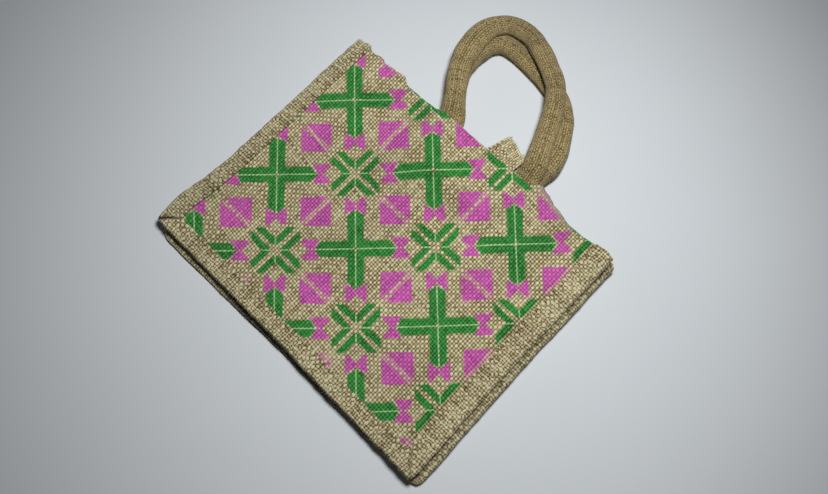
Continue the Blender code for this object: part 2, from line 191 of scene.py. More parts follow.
# in the finish, as shares of the pitch: half a warp and half a weft thread's width
WARP_WIDE = 0.45
WEFT_WIDE = 0.39
THREADS_DIFFER = 0.06        # from the thickest thread to the thinnest
SLUB = 0.2                   # from a thread's thickest stretch to its thinnest
WAVE = 0.38                  # how far a thread rises and dips, as a share of the weave's height
ON_TOP = 0.08                # how much higher the warp lies, and lower the weft
PALER = 0.16                 # how much lighter the warp is, and darker the weft
SPECK = 0.8                  # how much the crossings' shades differ

# ---- the print: a repeat on a square lattice that stands on its corner ----
REPEAT = 65.2                # from one figure's middle to the next one's
SLIP = 2.5                   # how far the print lies towards the mouth close to it, at the mouth's two ends
SLIP_REACH = 26.0
SLIP_X = ((-40.0, -58.0), (104.0, 118.0))        # from where it starts to slip to where it is full
BARE_RIM = 5.0               # the unprinted strip along the mouth's raw end
RAW_X = -66.0                # and the x where that end starts, to the left
EDGE_LINE = ((-70.0, -25.0), (114.0, 138.0))     # where a line of green ink shows on the mouth's fold
VEIL_X = 95.0                # the middle of a stretch of the mouth that is worn grey, and half its length
VEIL_REACH = 22.0
VEIL = 0.7
# places where the inks end short of their shapes: x, y, reach, how far
WORN = ((-114, 42.4, 8, 1.2),
        (-118, -41.5, 9, 1.2),
        (-121, -48, 8, 1.5),
        (-45, -78.5, 11, 2.0),
        (46, -81, 10, 0.9),
        (137, -83, 10, 0.8))
# dark knots in the printed cloth's threads: x, y, reach, how dark
KNOTS = ((-75.4, 138, 3.2, 0.95),
         (30, 98.3, 2.8, 0.6))
BARE_SPOT = (0.3, 0.15)      # a place on the lattice without ink
# each ink's deep and light tone, and how strongly the weave shows in it
INKS = {"green": ("022406", "3E9843", 1.5),
        "pink": ("581048", "DE6CBE", 1.0),
        "thin": ("48823A", "BCDA9E", 1.0)}
INK_LEVEL = 0.57             # the tone that keeps its place when the weave shows more strongly
INK_EDGE = 80.0              # how sharply an ink ends
BREATH = 0.28                # how much pink is left in a square's parting

# ---- loose fibres: their radii ----
FINE = (0.05, 0.1)
TUFT = (0.08, 0.2)           # fibres pulled up together by the needle
THREAD = (0.22, 0.42)        # frayed ends of whole threads


def smooth(value):
    """0 below 0, 1 above 1, with a soft start and end between."""
    value = np.clip(value, 0.0, 1.0)
    return value * value * (3 - 2 * value)


def ramp(value, start, end):
    """0 up to start and 1 from end on, with a soft change between. end may be the lower one."""
    return smooth((value - start) / (end - start))


def mix(a, b, share):
    return a + (b - a) * share


def running_total(steps):
    """The sum of the steps up to each point, from 0."""
    return np.concatenate(([0.0], np.cumsum(steps)))


def unit(vectors):
    return vectors / np.linalg.norm(vectors, axis=-1, keepdims=True)


def follow(line, x):
    """The height at x of a line given as rows of x, y."""
    table = np.array(line, float)
    row = np.clip(np.searchsorted(table[:, 0], x) - 1, 0, len(table) - 2)
    share = (x - table[row, 0]) / (table[row + 1, 0] - table[row, 0])
    return mix(table[row, 1], table[row + 1, 1], smooth(share))


def bumps(table, x, y):
    """The sum of soft round bumps given as rows of x, y, reach, height."""
    return sum(height * np.exp(-((x - bx) ** 2 + (y - by) ** 2) / (2 * (reach / 2) ** 2))
               for bx, by, reach, height in table)


def lie(x, y, z):
    """A flat drawing's points, moved to where the cloth really lies."""
    dx = dy = 0.0
    for bx, by, reach, push_x, push_y in PUSHES:
        near = np.exp(-((x - bx) ** 2 + (y - by) ** 2) / reach ** 2)
        dx = dx + near * push_x
        dy = dy + near * push_y
    return np.stack((x + dx, y + dy, z), -1)


def wander(x, y, scale, seed):
    """Smooth noise from -1 to 1, with bumps about one scale wide."""
    cells = np.random.RandomState(seed).uniform(-1, 1, (64, 64))
    column, row = np.floor(x / scale).astype(int), np.floor(y / scale).astype(int)
    across, up = smooth(x / scale - column), smooth(y / scale - row)
    low = mix(cells[column % 64, row % 64], cells[(column + 1) % 64, row % 64], across)
    high = mix(cells[column % 64, (row + 1) % 64], cells[(column + 1) % 64, (row + 1) % 64], across)
    return mix(low, high, up)


def stray(table, x, y, seed=0):
    """The sum of smooth noises given as rows of how far, scale and what is added to the piece's own seed."""
    return sum(far * wander(x, y, scale, seed + own) for far, scale, own in table)


def side_x(rim, y):
    """The x of a rim's left and right side at y."""
    left = mix(rim[1][0], rim[0][0], (y - rim[1][1]) / (rim[0][1] - rim[1][1]))
    right = mix(rim[2][0], rim[3][0], (y - rim[2][1]) / (rim[3][1] - rim[2][1]))
    return left, right


def foot_y(rim, x):
    return mix(rim[1][1], rim[2][1], (x - rim[1][0]) / (rim[2][0] - rim[1][0]))


def from_rim(rim, x, y):
    """How far in from a rim's left, foot or right side a point is."""
    left, right = side_x(rim, y)
    return np.minimum(np.minimum(x - left, right - x), y - foot_y(rim, x))


def hem_share(y):
    return ramp(y, *HEM_RISE)


def lift(x, y):
    return bumps(LIFTS, x, y)


def leg_rise(x, y):
    """How far the front panel is lifted by the handles' sewn ends."""
    over = sum(np.exp(-((x - leg) / LEG_REACH) ** 4) for leg in LEG_X)
    between = 0.6 * smooth((x - LEG_X[0]) / 20) * smooth((LEG_X[1] - x) / 20)
    return LEG_LIFT * np.maximum(np.minimum(over, 1.0), between) * hem_share(y)


def front_height(x, y):
    """The front panel's middle height."""
    inside = from_rim(FRONT_RIM, x, y) - max(FRONT_BORDER)
    sink = SAG * smooth(inside / 50)
    return (FRONT_PANEL + lift(x, y) + 2 * STEP * hem_share(y) - sink + leg_rise(x, y)
            + smooth(inside / 20) * (bumps(RELIEF, x, y) + RIPPLE * wander(x, y, 17, 3)))


def back_height(x, y):
    """The back panel's middle height: on the binding at the rim, on the surface inside it."""
    inside = from_rim(BACK_RIM, x, y) - max(BACK_BORDER)
    return mix(BACK_PANEL, BACK_FOOT, ramp(inside, 4, 20))


def round_corners(rim, radius, x, y):
    """Draws the rim's two foot corners in to round ones."""
    left, right = side_x(rim, y)
    up = y - foot_y(rim, x)
    for distance, side in ((x - left, 1), (right - x, -1)):
        pull = radius / 4 * np.clip(1 - np.maximum(distance, up) / radius, 0, 1) ** 2
        x = x + side * pull
        y = y + pull
    return x, y


# ---- sheets of cloth ----

def thread_lines(first, last, seed, coarse=()):
    """Thread numbers and places from first to last: two lines to a thread, or one line to two threads in
    the stretches that coarse gives. Whole numbers lie between threads, halves in their middles."""
    count = math.ceil((last - first) / PITCH)
    random = np.random.RandomState(seed)
    widths = 1 + UNEVEN * np.clip(random.normal(0, 1, count), -2, 2)
    edges = running_total(widths)
    edges = first + edges * (last - first) / edges[-1]
    numbers = np.arange(0, count + 0.25, 0.5)
    places = np.interp(numbers, np.arange(count + 1), edges)
    keep = np.ones(len(numbers), bool)
    for low, high in coarse:
        keep &= (places <= low) | (places >= high) | (numbers % 2 == 0)
    # the outermost lines run down a thread, not between two
    numbers[0] += 0.3
    numbers[-1] -= 0.3
    return numbers[keep], places[keep]


def weave_share(across, along, thin):
    """The cloth's thickness at each grid point, as a share of its full thickness. thin is how much of it
    the thinnest threads lack."""
    def fine(numbers):
        return np.gradient(numbers) < 0.6

    on_warp = (np.round(across * 2) % 2 == 1)[None, :]
    on_weft = (np.round(along * 2) % 2 == 1)[:, None]
    share = np.where(on_weft, np.where(on_warp, THICK_CROSSING, THICK_WEFT),
                     np.where(on_warp, THICK_WARP, THICK_CORNER))
    share = share * (1 - thin * np.random.RandomState(len(across)).uniform(0, 1, share.shape))
    drawn = fine(across)[None, :] & fine(along)[:, None]
    return np.where(drawn, share, THICK_HIDDEN)


def grid_mesh(name, places, threads, motif=None):
    """A grid whose points are put at places (rows, columns, 3), in the tables' millimetres. threads are the
    thread numbers there and motif is the place in the print, which the finish reads."""
    rows, columns = places.shape[:2]
    bpy.ops.mesh.primitive_grid_add(x_subdivisions=columns - 1, y_subdivisions=rows - 1, size=1)
    piece = bpy.context.object
    mesh = piece.data
    piece.name = mesh.name = name
    flat = (places.reshape(-1, 3) - (*PLACE, 0)) * MM
    mesh.vertices.foreach_set("co", flat.ravel())
    corners = np.zeros(len(mesh.loops), np.int32)
    mesh.loops.foreach_get("vertex_index", corners)
    mesh.uv_layers[0].name = "threads"
    mesh.uv_layers["threads"].data.foreach_set("uv", threads.reshape(-1, 2)[corners].ravel())
    if motif is not None:
        mesh.uv_layers.new(name="motif")
        mesh.uv_layers["motif"].data.foreach_set("uv", motif.reshape(-1, 2)[corners].ravel())
    mesh.update()
    return piece


def select(*pieces):
    """Selects these pieces alone and makes the first one active."""
    bpy.ops.object.select_all(action="DESELECT")
    for piece in pieces:
        piece.select_set(True)
    bpy.context.view_layer.objects.active = pieces[0]


def cut_away(piece, unwanted):
    """Deletes the faces whose points' numbers are unwanted."""
    mesh = bmesh.new()
    mesh.from_mesh(piece.data)
    faces = [face for face in mesh.faces if unwanted([vert.index for vert in face.verts])]
    bmesh.ops.delete(mesh, geom=faces, context="FACES")
    mesh.to_mesh(piece.data)
    mesh.free()


def close(piece):
    """Merges a rolled grid's seam, caps its open ends and turns its faces outwards."""
    mesh = bmesh.new()
    mesh.from_mesh(piece.data)
    bmesh.ops.remove_doubles(mesh, verts=mesh.verts, dist=0.000001)
    bmesh.ops.holes_fill(mesh, edges=[edge for edge in mesh.edges if edge.is_boundary], sides=0)
    bmesh.ops.recalc_face_normals(mesh, faces=mesh.faces)
    mesh.to_mesh(piece.data)
    mesh.free()
    select(piece)
    bpy.ops.object.shade_smooth()


def join(name, *parts):
    """Joins parts into one piece."""
    select(*parts)
    bpy.ops.object.join()
    parts[0].name = name
    return parts[0]


def sheet(name, places, warp, weft, thin, motif=None, fields=None, inside=None):
    """A woven sheet on a grid of thread lines, with its thickness on both sides of its middle. warp and
    weft are the lines' thread numbers, thin is 0 where the weave isn't modelled, and fields are values for
    the finish. A face with no point inside is cut away."""
    piece = grid_mesh(name, places, np.dstack(np.meshgrid(warp, weft)), motif)
    for field, values in (fields or {}).items():
        attribute = piece.data.attributes.new(field, "FLOAT", "POINT")
        attribute.data.foreach_set("value", values.ravel())
    group = piece.vertex_groups.new(name="weave")
    share = weave_share(warp, weft, thin) if thin else np.full(places.shape[:2], THICK_HIDDEN)
    levels = np.round(share.ravel(), 2)
    for level in np.unique(levels):
        group.add(np.flatnonzero(levels == level).tolist(), float(level), "REPLACE")
    if inside is not None:
        keep = inside.ravel()
        cut_away(piece, lambda points: not keep[points].any())
    select(piece)
    solid = piece.modifiers.new("thickness", "SOLIDIFY")
    solid.thickness = CLOTH * MM
    solid.offset = 0.0
    solid.vertex_group = "weave"
    bpy.ops.object.modifier_apply(modifier=solid.name)
    bpy.ops.object.shade_smooth()
    return piece


def hem_end(mouth):
    """How far up the flat panel reaches: to the mouth's line, round the fold and down the hem."""
    return mouth - CLOTH / 2 - STEP / 2 + math.pi * STEP / 2 + HEM


def panel_places(rim, mouth_line, height, hem_side, s, t):
    """Where a panel's flat points lie: up the bag, over the fold at the mouth and back inside the bag.
    s is the share across the panel, t the way up from the middle of the print."""
    radius = STEP / 2
    left, right = side_x(rim, np.minimum(t, rim[0][1]))
    x = mix(left + SEAM_INSET, right - SEAM_INSET, s)
    fold = follow(mouth_line, x) - CLOTH / 2 - radius
    turned = np.clip((t - fold) / radius, 0, math.pi)
    back = np.maximum(t - fold - math.pi * radius, 0)
    y = np.where(t < fold, t, fold + radius * np.sin(turned) - back)
    y = np.maximum(y, foot_y(rim, x) + SEAM_INSET)
    z = height(x, np.minimum(y, fold)) + hem_side * radius * (1 - np.cos(turned))
    return x, y, z


def front_panel():
    """The printed front with its hem. Its grid follows the threads, which fall towards the right."""
    left, right = FRONT_RIM[1][0] + SEAM_INSET, FRONT_RIM[2][0] - SEAM_INSET
    foot, top = FRONT_RIM[2][1] + SEAM_INSET, FRONT_RIM[0][1] + 6 + HEM
    under_binding = ((left, left + 9), (right - 13, right))
    warp, warp_x = thread_lines(left, right, 11, under_binding)
    # the fall of the threads that run across, summed from the left
    slope = np.tan(np.radians(np.interp(warp_x, *np.array(THREAD_FALL).T)))
    fall = running_total((slope[1:] + slope[:-1]) / 2 * np.diff(warp_x))
    weft, weft_y = thread_lines(foot, top + fall[-1], 12)
    x, up = np.meshgrid(warp_x, weft_y)
    t = up - fall
    t = t + stray(FRONT_UP, x, t)
    s = (x - left) / (right - left)
    s = s + smooth(np.minimum(s, 1 - s) / 0.05) * stray(FRONT_ACROSS, x, t) / (right - left)
    end = hem_end(follow(MOUTH_LINE, x))
    px, py, pz = panel_places(FRONT_RIM, MOUTH_LINE, front_height, -1, s, np.minimum(t, end))
    # the print's place, and how far each point is past the mouth's fold
    over = t - follow(MOUTH_LINE, px)
    slip = SLIP * sum(ramp(px, *ends) for ends in SLIP_X) * ramp(over, -SLIP_REACH, 0)
    print_y = np.where(over < 0, py, t) - slip
    motif = np.dstack((px + print_y, px - print_y)) / math.sqrt(2) / REPEAT
    veil = np.exp(-((px - VEIL_X) / VEIL_REACH) ** 4) * ramp(over, -7, -3)
    raw = ramp(px, RAW_X, RAW_X - 4) * ramp(over, -BARE_RIM - 1.5, -BARE_RIM)
    edge = sum(ramp(px, low, low + 3) * ramp(px, high, high - 3) for low, high in EDGE_LINE)
    edge = edge * ramp(over, -2.1, -1.2) * ramp(over, 3, 1.5)
    fields = {"edge": edge, "veil": veil, "worn": (bumps(WORN, px, print_y) + 4 * raw) / REPEAT,
              "knots_and_painted_shade": bumps(KNOTS, px, print_y)}
    inside = (t > foot_y(FRONT_RIM, px) + SEAM_INSET) & (t < end)
    return sheet("printed_front", lie(px, py, pz), warp, weft, PANEL_THIN, motif, fields, inside)


def back_panel():
    """The plain back with its hem. Its grid is coarse under the binding and down the hem."""
    left, right = BACK_RIM[1][0] + SEAM_INSET, BACK_RIM[2][0] - SEAM_INSET
    foot, top = BACK_RIM[2][1] + SEAM_INSET, hem_end(BACK_RIM[0][1])
    warp, warp_x = thread_lines(left, right, 21, ((left, left + 10), (right - 10, right)))
    weft, weft_y = thread_lines(foot, top, 22, ((foot, foot + 10), (top - HEM + 4, top)))
    x, t = np.meshgrid(warp_x, weft_y)
    s = (x - left) / (right - left)
    t = t + stray(BACK_UP, x, t)
    x, y, z = panel_places(BACK_RIM, BACK_MOUTH_LINE, back_height, 1, s, t)
    x, y = round_corners(BACK_RIM, BACK_CORNER, x, y)
    return sheet("plain_back", lie(x, y, z), warp, weft, PANEL_THIN)


def strip_section(upper, lower, reach, height, front, seed):
    """Lines across a folded strip, from its upper edge over the fold to its lower edge: their thread
    numbers, their places on the flat strip, how far in from the rim they lie, and their share of its height.
    upper and lower are its widths as it lies; reach is how far the fold stands out sideways."""
    middle = CLOTH / 2 + reach
    upper_leg = upper - middle
    shown = upper_leg + math.pi * (reach + height / 2) / 2
    total = shown + lower - middle
    hidden = (shown, total) if front else (0, upper_leg - 3)
    weft, across = thread_lines(0, total, seed, (hidden,))
    turned = np.clip((across - upper_leg) / (shown - upper_leg), 0, 1) * math.pi
    inset = np.where(across < upper_leg, upper - across,
                     np.where(across > shown, middle + across - shown, middle - reach * np.sin(turned)))
    return weft, across, inset, 0.5 + 0.5 * np.cos(turned)


def mitre_reach(corners, index, inset):
    """How far before its corner a strip ends at a mitre, at each inset."""
    before = corners[index - 1] - corners[index]
    after = corners[index + 1] - corners[index]
    cosine = float(before @ after / np.hypot(*before) / np.hypot(*after))
    return inset / math.tan(math.acos(cosine) / 2)


def front_folds(side, z, share, across, inset, ends):
    """The front binding's small forms: its folded-in edge is thicker and its mitres gape. ends are the
    distances from one side's two ends. Gives the height and how much painted shade the cloth has: in the
    gaping mitres, and a little all down the left side."""
    z = z + RIDGE * ramp(across, 2.4, 0.8)
    gape = np.zeros_like(z)
    if side > 0:
        gape = np.maximum(gape, MITRES[side - 1] * ramp(ends[0], 2.2, 1.0))
    if side < 2:
        gape = np.maximum(gape, MITRES[side] * ramp(ends[1], 2.2, 1.0))
    # it narrows away from the rim, and is on top alone
    gape = gape * (1 - 0.65 * ramp(inset, 8, 13)) * ramp(share, 0.5, 0.7)
    # painted shade in the gaping mitres, and a little down the left side
    return z - MITRE_DEPTH * gape, np.maximum(gape, PAINTED_SHADE_LEFT * (side == 0))


def back_folds(x, y, z, share, seed):
    """The back binding's small forms: its foot droops and gets painted shade, and its right side is rolled
    up, with a row of stitch pits, sunk in and darkened with painted shade. Gives the height and how much
    painted shade the cloth has."""
    below = foot_y(FRONT_RIM, x) - y
    z = z - DROOP * ramp(below, -1.5, 1) * ramp(x, *DROOP_X) * share
    z = z + ROLL_RISE * ramp(x, *ROLL_X) * ramp(y, *ROLL_Y) * ramp(share, 0.25, 0.75)
    # the stitches' step and line are a little uneven
    beat = np.cos(2 * math.pi * y / PIT_STEP + 3.2 * wander(y, 0 * y, 9, seed + 8))
    aside = x - PIT_X - 0.5 * wander(y, 0 * y, 7, 91)
    # the pits are sunk in, and their darkness is painted shade
    pits = np.exp(-(aside / PIT_WIDTH) ** 2) * mix(0.25, 1.0, smooth(0.5 + 0.6 * beat))
    pits = pits * ramp(share, 0.5, 0.7)
    # painted shade along the foot, where the front binding overhangs the fold
    left, right = PAINTED_SHADE_X
    painted_foot_shade = PAINTED_SHADE_FOOT * ramp(below, -0.2, 1.3) * ramp(x, left, left + 50) * ramp(x, right, right - 10)
    return z - PIT_DEPTH * pits, np.maximum(PIT_PAINTED_SHADE * pits, painted_foot_shade)


def binding(name, rim, corner, mouth_line, low, high, front, seed):
    """A strip of cloth folded round a rim's edges: three lengths that meet in mitres at the bag's foot.
    low and high are its two legs' heights."""
    reach = 2.2 if front else 3.4
    upper, lower = (FRONT_BORDER, BORDER_UNDER) if front else (BORDER_UNDER, BACK_BORDER)
    corners = [np.array(point) for point in rim]
    lengths = []
    for side in range(3):
        run = corners[side + 1] - corners[side]
        length = float(np.hypot(*run))
        run = run / length
        inward = (-run[1], run[0])
        weft, across, inset, share = strip_section(upper[side], lower[side], reach, high - low, front,
                                                   seed + side)
        warp, straight = thread_lines(-8, length + 8, seed + 10 + side)
        straight, inset = np.meshgrid(straight, inset)
        across, share = across[:, None] + 0 * straight, share[:, None] + 0 * straight
        # the strip is cut and folded by hand, so its threads and its edges wander
        along = straight + stray(BINDING_ALONG, straight, across, seed)
        inset = (inset + BINDING_FOLD * wander(straight, across / 3, 10, seed + 5)
                 + BINDING_EDGE * wander(straight, across, 4, seed + 6))
        # the ends: cut at the mouth, mitred at the foot
        first = mitre_reach(corners, side, inset) if side > 0 else 0 * along
        last = length - (mitre_reach(corners, side + 1, inset) if side < 2 else 0 * along)
        along = np.clip(along, first, last)
        x = corners[side][0] + run[0] * along + inward[0] * inset
        y = corners[side][1] + run[1] * along + inward[1] * inset
        # towards the mouth, it follows the mouth's line
        y = y + (follow(mouth_line, x) - rim[0][1]) * ramp(y, 110, 130)
        x, y = round_corners(rim, corner, x, y)
        # the front's strip lies on one hem with its lower leg and on two with its upper one
        raised = STEP * hem_share(y)
        bottom = low + (lift(x, y) + raised) * front
        top = high + lift(x, y) * front + raised * (1 + front)
        z = mix(bottom, top, share) + RIPPLE * (1 + wander(straight, across, 8, seed + 7)) * share
        if front:
            z, dark = front_folds(side, z, share, across, inset, (along - first, last - along))
        else:
            z, dark = back_folds(x, y, z, share, seed)
        inside = (along > first + 0.01) & (along < last - 0.01)
        lengths.append(sheet(name + str(side), lie(x, y, z), warp, weft, BINDING_THIN,
                             fields={"knots_and_painted_shade": dark}, inside=inside))
    return join(name, *lengths)


def rim_line(rim, inset, mouth_line):
    """Points along a rim, inset from it, from its mouth's left end round its foot to its right end."""
    corners = [np.array(point, float) for point in rim]
    corners[0] = np.array((corners[0][0] + inset, follow(mouth_line, corners[0][0] + inset)))
    corners[3] = np.array((corners[3][0] - inset, follow(mouth_line, corners[3][0] - inset)))
    corners[1] = corners[1] + inset
    corners[2] = corners[2] + (-inset, inset)
    points = [corners[0]]
    for start, end, steps in zip(corners, corners[1:], (60, 70, 60)):
        points += [mix(start, end, step / steps) for step in range(1, steps + 1)]
    return np.array(points)


def gusset():
    """The strip between the panels, folded inwards along its middle, round three sides. It lies inside, so
    its weave isn't modelled."""
    # from its edge to the fold: how far in from the rim, and the share of the way to the fold's height
    deepest = GUSSET_FOLD - FOLD_RADIUS
    half = ((SEAM_INSET, 0.0), (10.0, 0.0), (16.0, 0.0), (25.0, 0.45), (35.0, 0.85), (deepest, 1.0))
    section = [(inset, share, -1, 0) for inset, share in half]
    section += [(deepest, 1.0, 0, angle) for angle in (45, 90, 135)]
    section += [(inset, share, 1, 180) for inset, share in reversed(half)]
    rows = []
    for inset, share, side, angle in section:
        angle = math.radians(angle)
        inset += FOLD_RADIUS * math.sin(angle)
        front = rim_line(FRONT_RIM, inset, MOUTH_LINE)
        back = rim_line(BACK_RIM, inset, BACK_MOUTH_LINE)
        x, y = mix(front, back, 0.5 + side * 0.5 * (1 - float(ramp(inset, 16, GUSSET_FOLD)))).T
        y = np.minimum(y, follow(BACK_MOUTH_LINE, x) - 1.5)
        x, y = round_corners(FRONT_RIM, 6.0, x, y)
        raised = STEP * hem_share(y)
        at_fold = FOLD_HEIGHT + 0.8 * raised + 0.5 * lift(x, y) + FOLD_RADIUS * math.cos(angle)
        at_rim = FRONT_GUSSET + lift(x, y) + raised if side < 0 else BACK_GUSSET + raised
        rows.append(lie(x, y, mix(at_rim, at_fold, share)))
    places = np.stack(rows)
    across = running_total(np.linalg.norm(np.diff(places[0], axis=0), axis=1))
    along = running_total(np.linalg.norm(np.diff(places, axis=0), axis=2).mean(axis=1))
    return sheet("gusset_strip", places, across / PITCH, along / PITCH, 0)


def tab():
    """The short strip sewn under the front hem, with a raw end."""
    width = math.dist(*TAB_FOOT)
    length = math.dist(TAB_FOOT[0], TAB_HEAD[0])
    warp, across = thread_lines(0, width, 41)
    weft, up = thread_lines(0, length, 42)
    across, up = np.meshgrid(across, up)
    side, height = across / width, up / length
    x, y = (mix(mix(foot_left, foot_right, side), mix(head_left, head_right, side), height)
            for foot_left, foot_right, head_left, head_right in zip(*TAB_FOOT, *TAB_HEAD))
    x = x + TAB_STRAY * wander(across, up, 7, 44)
    y = y + TAB_STRAY * wander(across, up, 6, 45)
    y = y + TAB_RAGGED * wander(across, 0 * up, 3.4, 43) * ramp(height, 0.75, 1)
    z = mix(*TAB_Z, ramp(height, 0.35, 1)) + TAB_RIPPLE * wander(across, up, 9, 46)
    return sheet("sewn_tab", np.dstack((x, y, z)), warp, weft, TAB_THIN)


# ---- padded handles ----

def smooth_route(route, spacing):
    """Evenly spaced points on a smooth curve through the route's own points, and how far along each is."""
    points = np.array(route, float)
    ends = np.vstack((2 * points[0] - points[1], points, 2 * points[-1] - points[-2]))
    shares = np.arange(20)[:, None] / 20
    fine = []
    for a, b, c, d in zip(ends, ends[1:], ends[2:], ends[3:]):
        fine.append(0.5 * (2 * b + (c - a) * shares + (2 * a - 5 * b + 4 * c - d) * shares ** 2
                           + (3 * b - a - 3 * c + d) * shares ** 3))
    fine = np.vstack(fine + [points[-1:]])
    travelled = running_total(np.linalg.norm(np.diff(fine, axis=0), axis=1))
    stations = np.linspace(0, travelled[-1], round(travelled[-1] / spacing) + 1)
    return np.stack([np.interp(stations, travelled, fine[:, axis]) for axis in range(3)], -1), stations


def handle(name, route, rise, seed):
    """A sleeve of finer cloth round a soft filling: oval as it lies, pressed flat where it is sewn in. rise
    says where its top is drawn up."""
    points, stations = smooth_route(route, HANDLE_PITCH / 2)
    along = np.gradient(points, axis=0)
    for _ in range(12):
        along[1:-1] = (along[:-2] + along[1:-1] + along[2:]) / 3
    along = unit(along)
    across = unit(np.cross(along, (0, 0, 1)))
    up = np.cross(across, along)
    full = ramp(points[:, 1:2], HANDLE_FREE, HANDLE_FREE + 19)
    wide = HANDLE_WIDTH / 2 * mix(PRESSED_WIDE, 1.0, full)
    high = HANDLE_THICK / 2 * mix(PRESSED, 1.0, full)
    numbers = np.arange(0, HANDLE_THREADS + 0.25, 0.5)
    place, turn = np.meshgrid(stations, numbers / HANDLE_THREADS * 2 * math.pi, indexing="ij")
    # an even spread of threads round the oval
    turn = turn - 0.16 * np.sin(2 * turn)
    # the filling's lumps, three soft ridges along the handle, and where the other handle presses
    swell = stray(HANDLE_LUMPS, place, turn * 9, seed)
    swell = swell + 0.3 * np.sin(3 * turn + 1.5 * wander(place, 0 * turn, 60, seed + 2))
    swell = (swell + bumps(HANDLE_FIT, points[:, 0:1], points[:, 1:2]) - 0.3) * full
    # the threads' own relief, from a crossing to an open corner
    middle = (np.round(numbers * 2) % 2)[None, :] + (np.arange(len(points)) % 2)[:, None]
    relief = np.select([middle == 2, middle == 1], [0.09, 0.02], -0.12)
    random = np.random.RandomState(seed + 5)
    relief = relief * random.uniform(0.3, 1.3, turn.shape) + random.uniform(-0.06, 0.06, turn.shape)
    relief[:, -1] = relief[:, 0]
    out = swell + relief
    places = (points[:, None] + across[:, None] * (np.cos(turn) * (wide + out))[..., None]
              + up[:, None] * (np.sin(turn) * (high + HANDLE_SWELL * out))[..., None])
    x, y, z = np.moveaxis(places, -1, 0)
    z = z + bumps(rise, x, y) * ramp(np.sin(turn), -0.2, 0.8) * full
    places = lie(x, y, np.maximum(z, 0.15))
    places[:, -1] = places[:, 0]
    piece = grid_mesh(name, places, np.dstack(np.meshgrid(numbers, stations / HANDLE_PITCH)))
    close(piece)
    return piece


# ---- loose fibres ----

def loose_fibres(piece, count, lengths, radii, seed, likely):
    """Adds the fibres and thread ends that stand out of a finished piece. likely says how probable one is
    at each of the piece's points, which it gets in the tables' millimetres."""
    points = np.zeros(len(piece.data.vertices) * 3)
    piece.data.vertices.foreach_get("co", points)
    points = points.reshape(-1, 3) / MM + (*PLACE, 0)
    normals = np.zeros(points.size)
    piece.data.vertices.foreach_get("normal", normals)
    random = np.random.RandomState(seed)
    chance = likely(*points.T)
    roots = random.choice(len(points), count, p=chance / chance.sum())
    out = unit(normals.reshape(-1, 3)[roots] + random.normal(0, 0.55, (count, 3)))
    bend = np.cross(out, random.normal(0, 1, (count, 3))) - (0, 0, 0.35)
    side = unit(np.cross(out, bend))
    length = random.uniform(*lengths, count)
    radius = random.uniform(*radii, count)
    # four rings of three sides to a fibre, from its root to its tip, each closed by a fourth point
    share = np.linspace(0, 1, 4)[None, :, None]
    middle = (points[roots][:, None] + length[:, None, None]
              * (share * out[:, None] + 0.45 * share ** 2 * bend[:, None]))
    middle[..., 2] = np.maximum(middle[..., 2], 0.3)
    turn = np.radians([0, 120, 240, 360])[None, :, None]
    spread = side[:, None] * np.cos(turn) + np.cross(out, side)[:, None] * np.sin(turn)
    thick = radius[:, None, None, None] * (1 - 0.5 * share[..., None])
    places = (middle[:, :, None] + thick * spread[:, None]).reshape(-1, 4, 3)
    # each fibre has one thread's shade
    threads = random.randint(0, 90, (count, 1, 1, 2)) + 0.5
    threads = np.broadcast_to(threads, (count, 4, 4, 2)).reshape(-1, 4, 2)
    motif = np.broadcast_to(BARE_SPOT, threads.shape) if "motif" in piece.data.uv_layers else None
    fibres = grid_mesh(piece.name + "_fibres", places, threads, motif)
    cut_away(fibres, lambda corners: len({corner // 16 for corner in corners}) > 1)
    close(fibres)
    return join(piece.name, piece, fibres)


def at_rim(x, y, z):
    """Fibres stand out most at the folds, and most of all at the mouth's ends."""
    inset = np.minimum(from_rim(FRONT_RIM, x, y), from_rim(BACK_RIM, x, y))
    return 0.12 + ramp(inset, 5, 2) + 3 * (y > 133)


def at_seam(x, y, z):
    """Along the stitches at the right side."""
    return 1e-6 + np.exp(-((x - PIT_X) / 1.3) ** 2) * (z > FRONT_FOOT)


def at_raw_mouth(x, y, z):
    return 1e-6 + (x < RAW_X) * (y > follow(MOUTH_LINE, x) - 1.4)


def at_tab_end(x, y, z):
    left, left_y = TAB_HEAD[0]
    right_y = TAB_HEAD[1][1]
    return 1e-6 + (y > mix(left_y, right_y, (x - left) / TAB_RAW_WIDTH) - 2.2)


def anywhere(x, y, z):
    return 0 * x + 1


# each node's loose fibres: how many, their lengths and radii, a seed, and where they stand
FIBRES = {
    "front_panel": ((60, (0.6, 1.8), THREAD, 300, at_raw_mouth),
                    (90, (1.0, 3.0), FINE, 301, at_raw_mouth)),
    "front_binding": ((320, (0.8, 2.6), FINE, 302, at_rim),),
    "back_binding": ((320, (0.8, 2.6), FINE, 303, at_rim),
                     (380, (0.9, 2.4), TUFT, 308, at_seam)),
    "handle_front": ((340, (0.6, 2.2), FINE, 304, anywhere),),
    "handle_back": ((340, (0.6, 2.2), FINE, 305, anywhere),),
    "tab": ((40, (0.6, 1.8), THREAD, 306, at_tab_end),
            (70, (1.0, 2.8), FINE, 307, at_tab_end))}


def dress(piece, material, node):
    """Gives a piece its loose fibres, its finish and its place in the frame."""
    for row in FIBRES.get(node, ()):
        piece = loose_fibres(piece, *row)
    piece.data.materials.clear()
    piece.data.materials.append(material)
    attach(piece, "root")
    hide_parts(node)
    return piece


# ---- finishes ----

# the settings and the output of a Mix node for colours, whose inputs are 0, 6 and 7
COLOURS = {"output": 2, "data_type": "RGBA"}


def colour(text):
    """A sRGB hex value as a linear colour."""
    parts = [int(text[place:place + 2], 16) / 255 for place in (0, 2, 4)]
    linear = [part / 12.92 if part <= 0.04045 else ((part + 0.055) / 1.055) ** 2.4 for part in parts]
    return (*linear, 1.0)


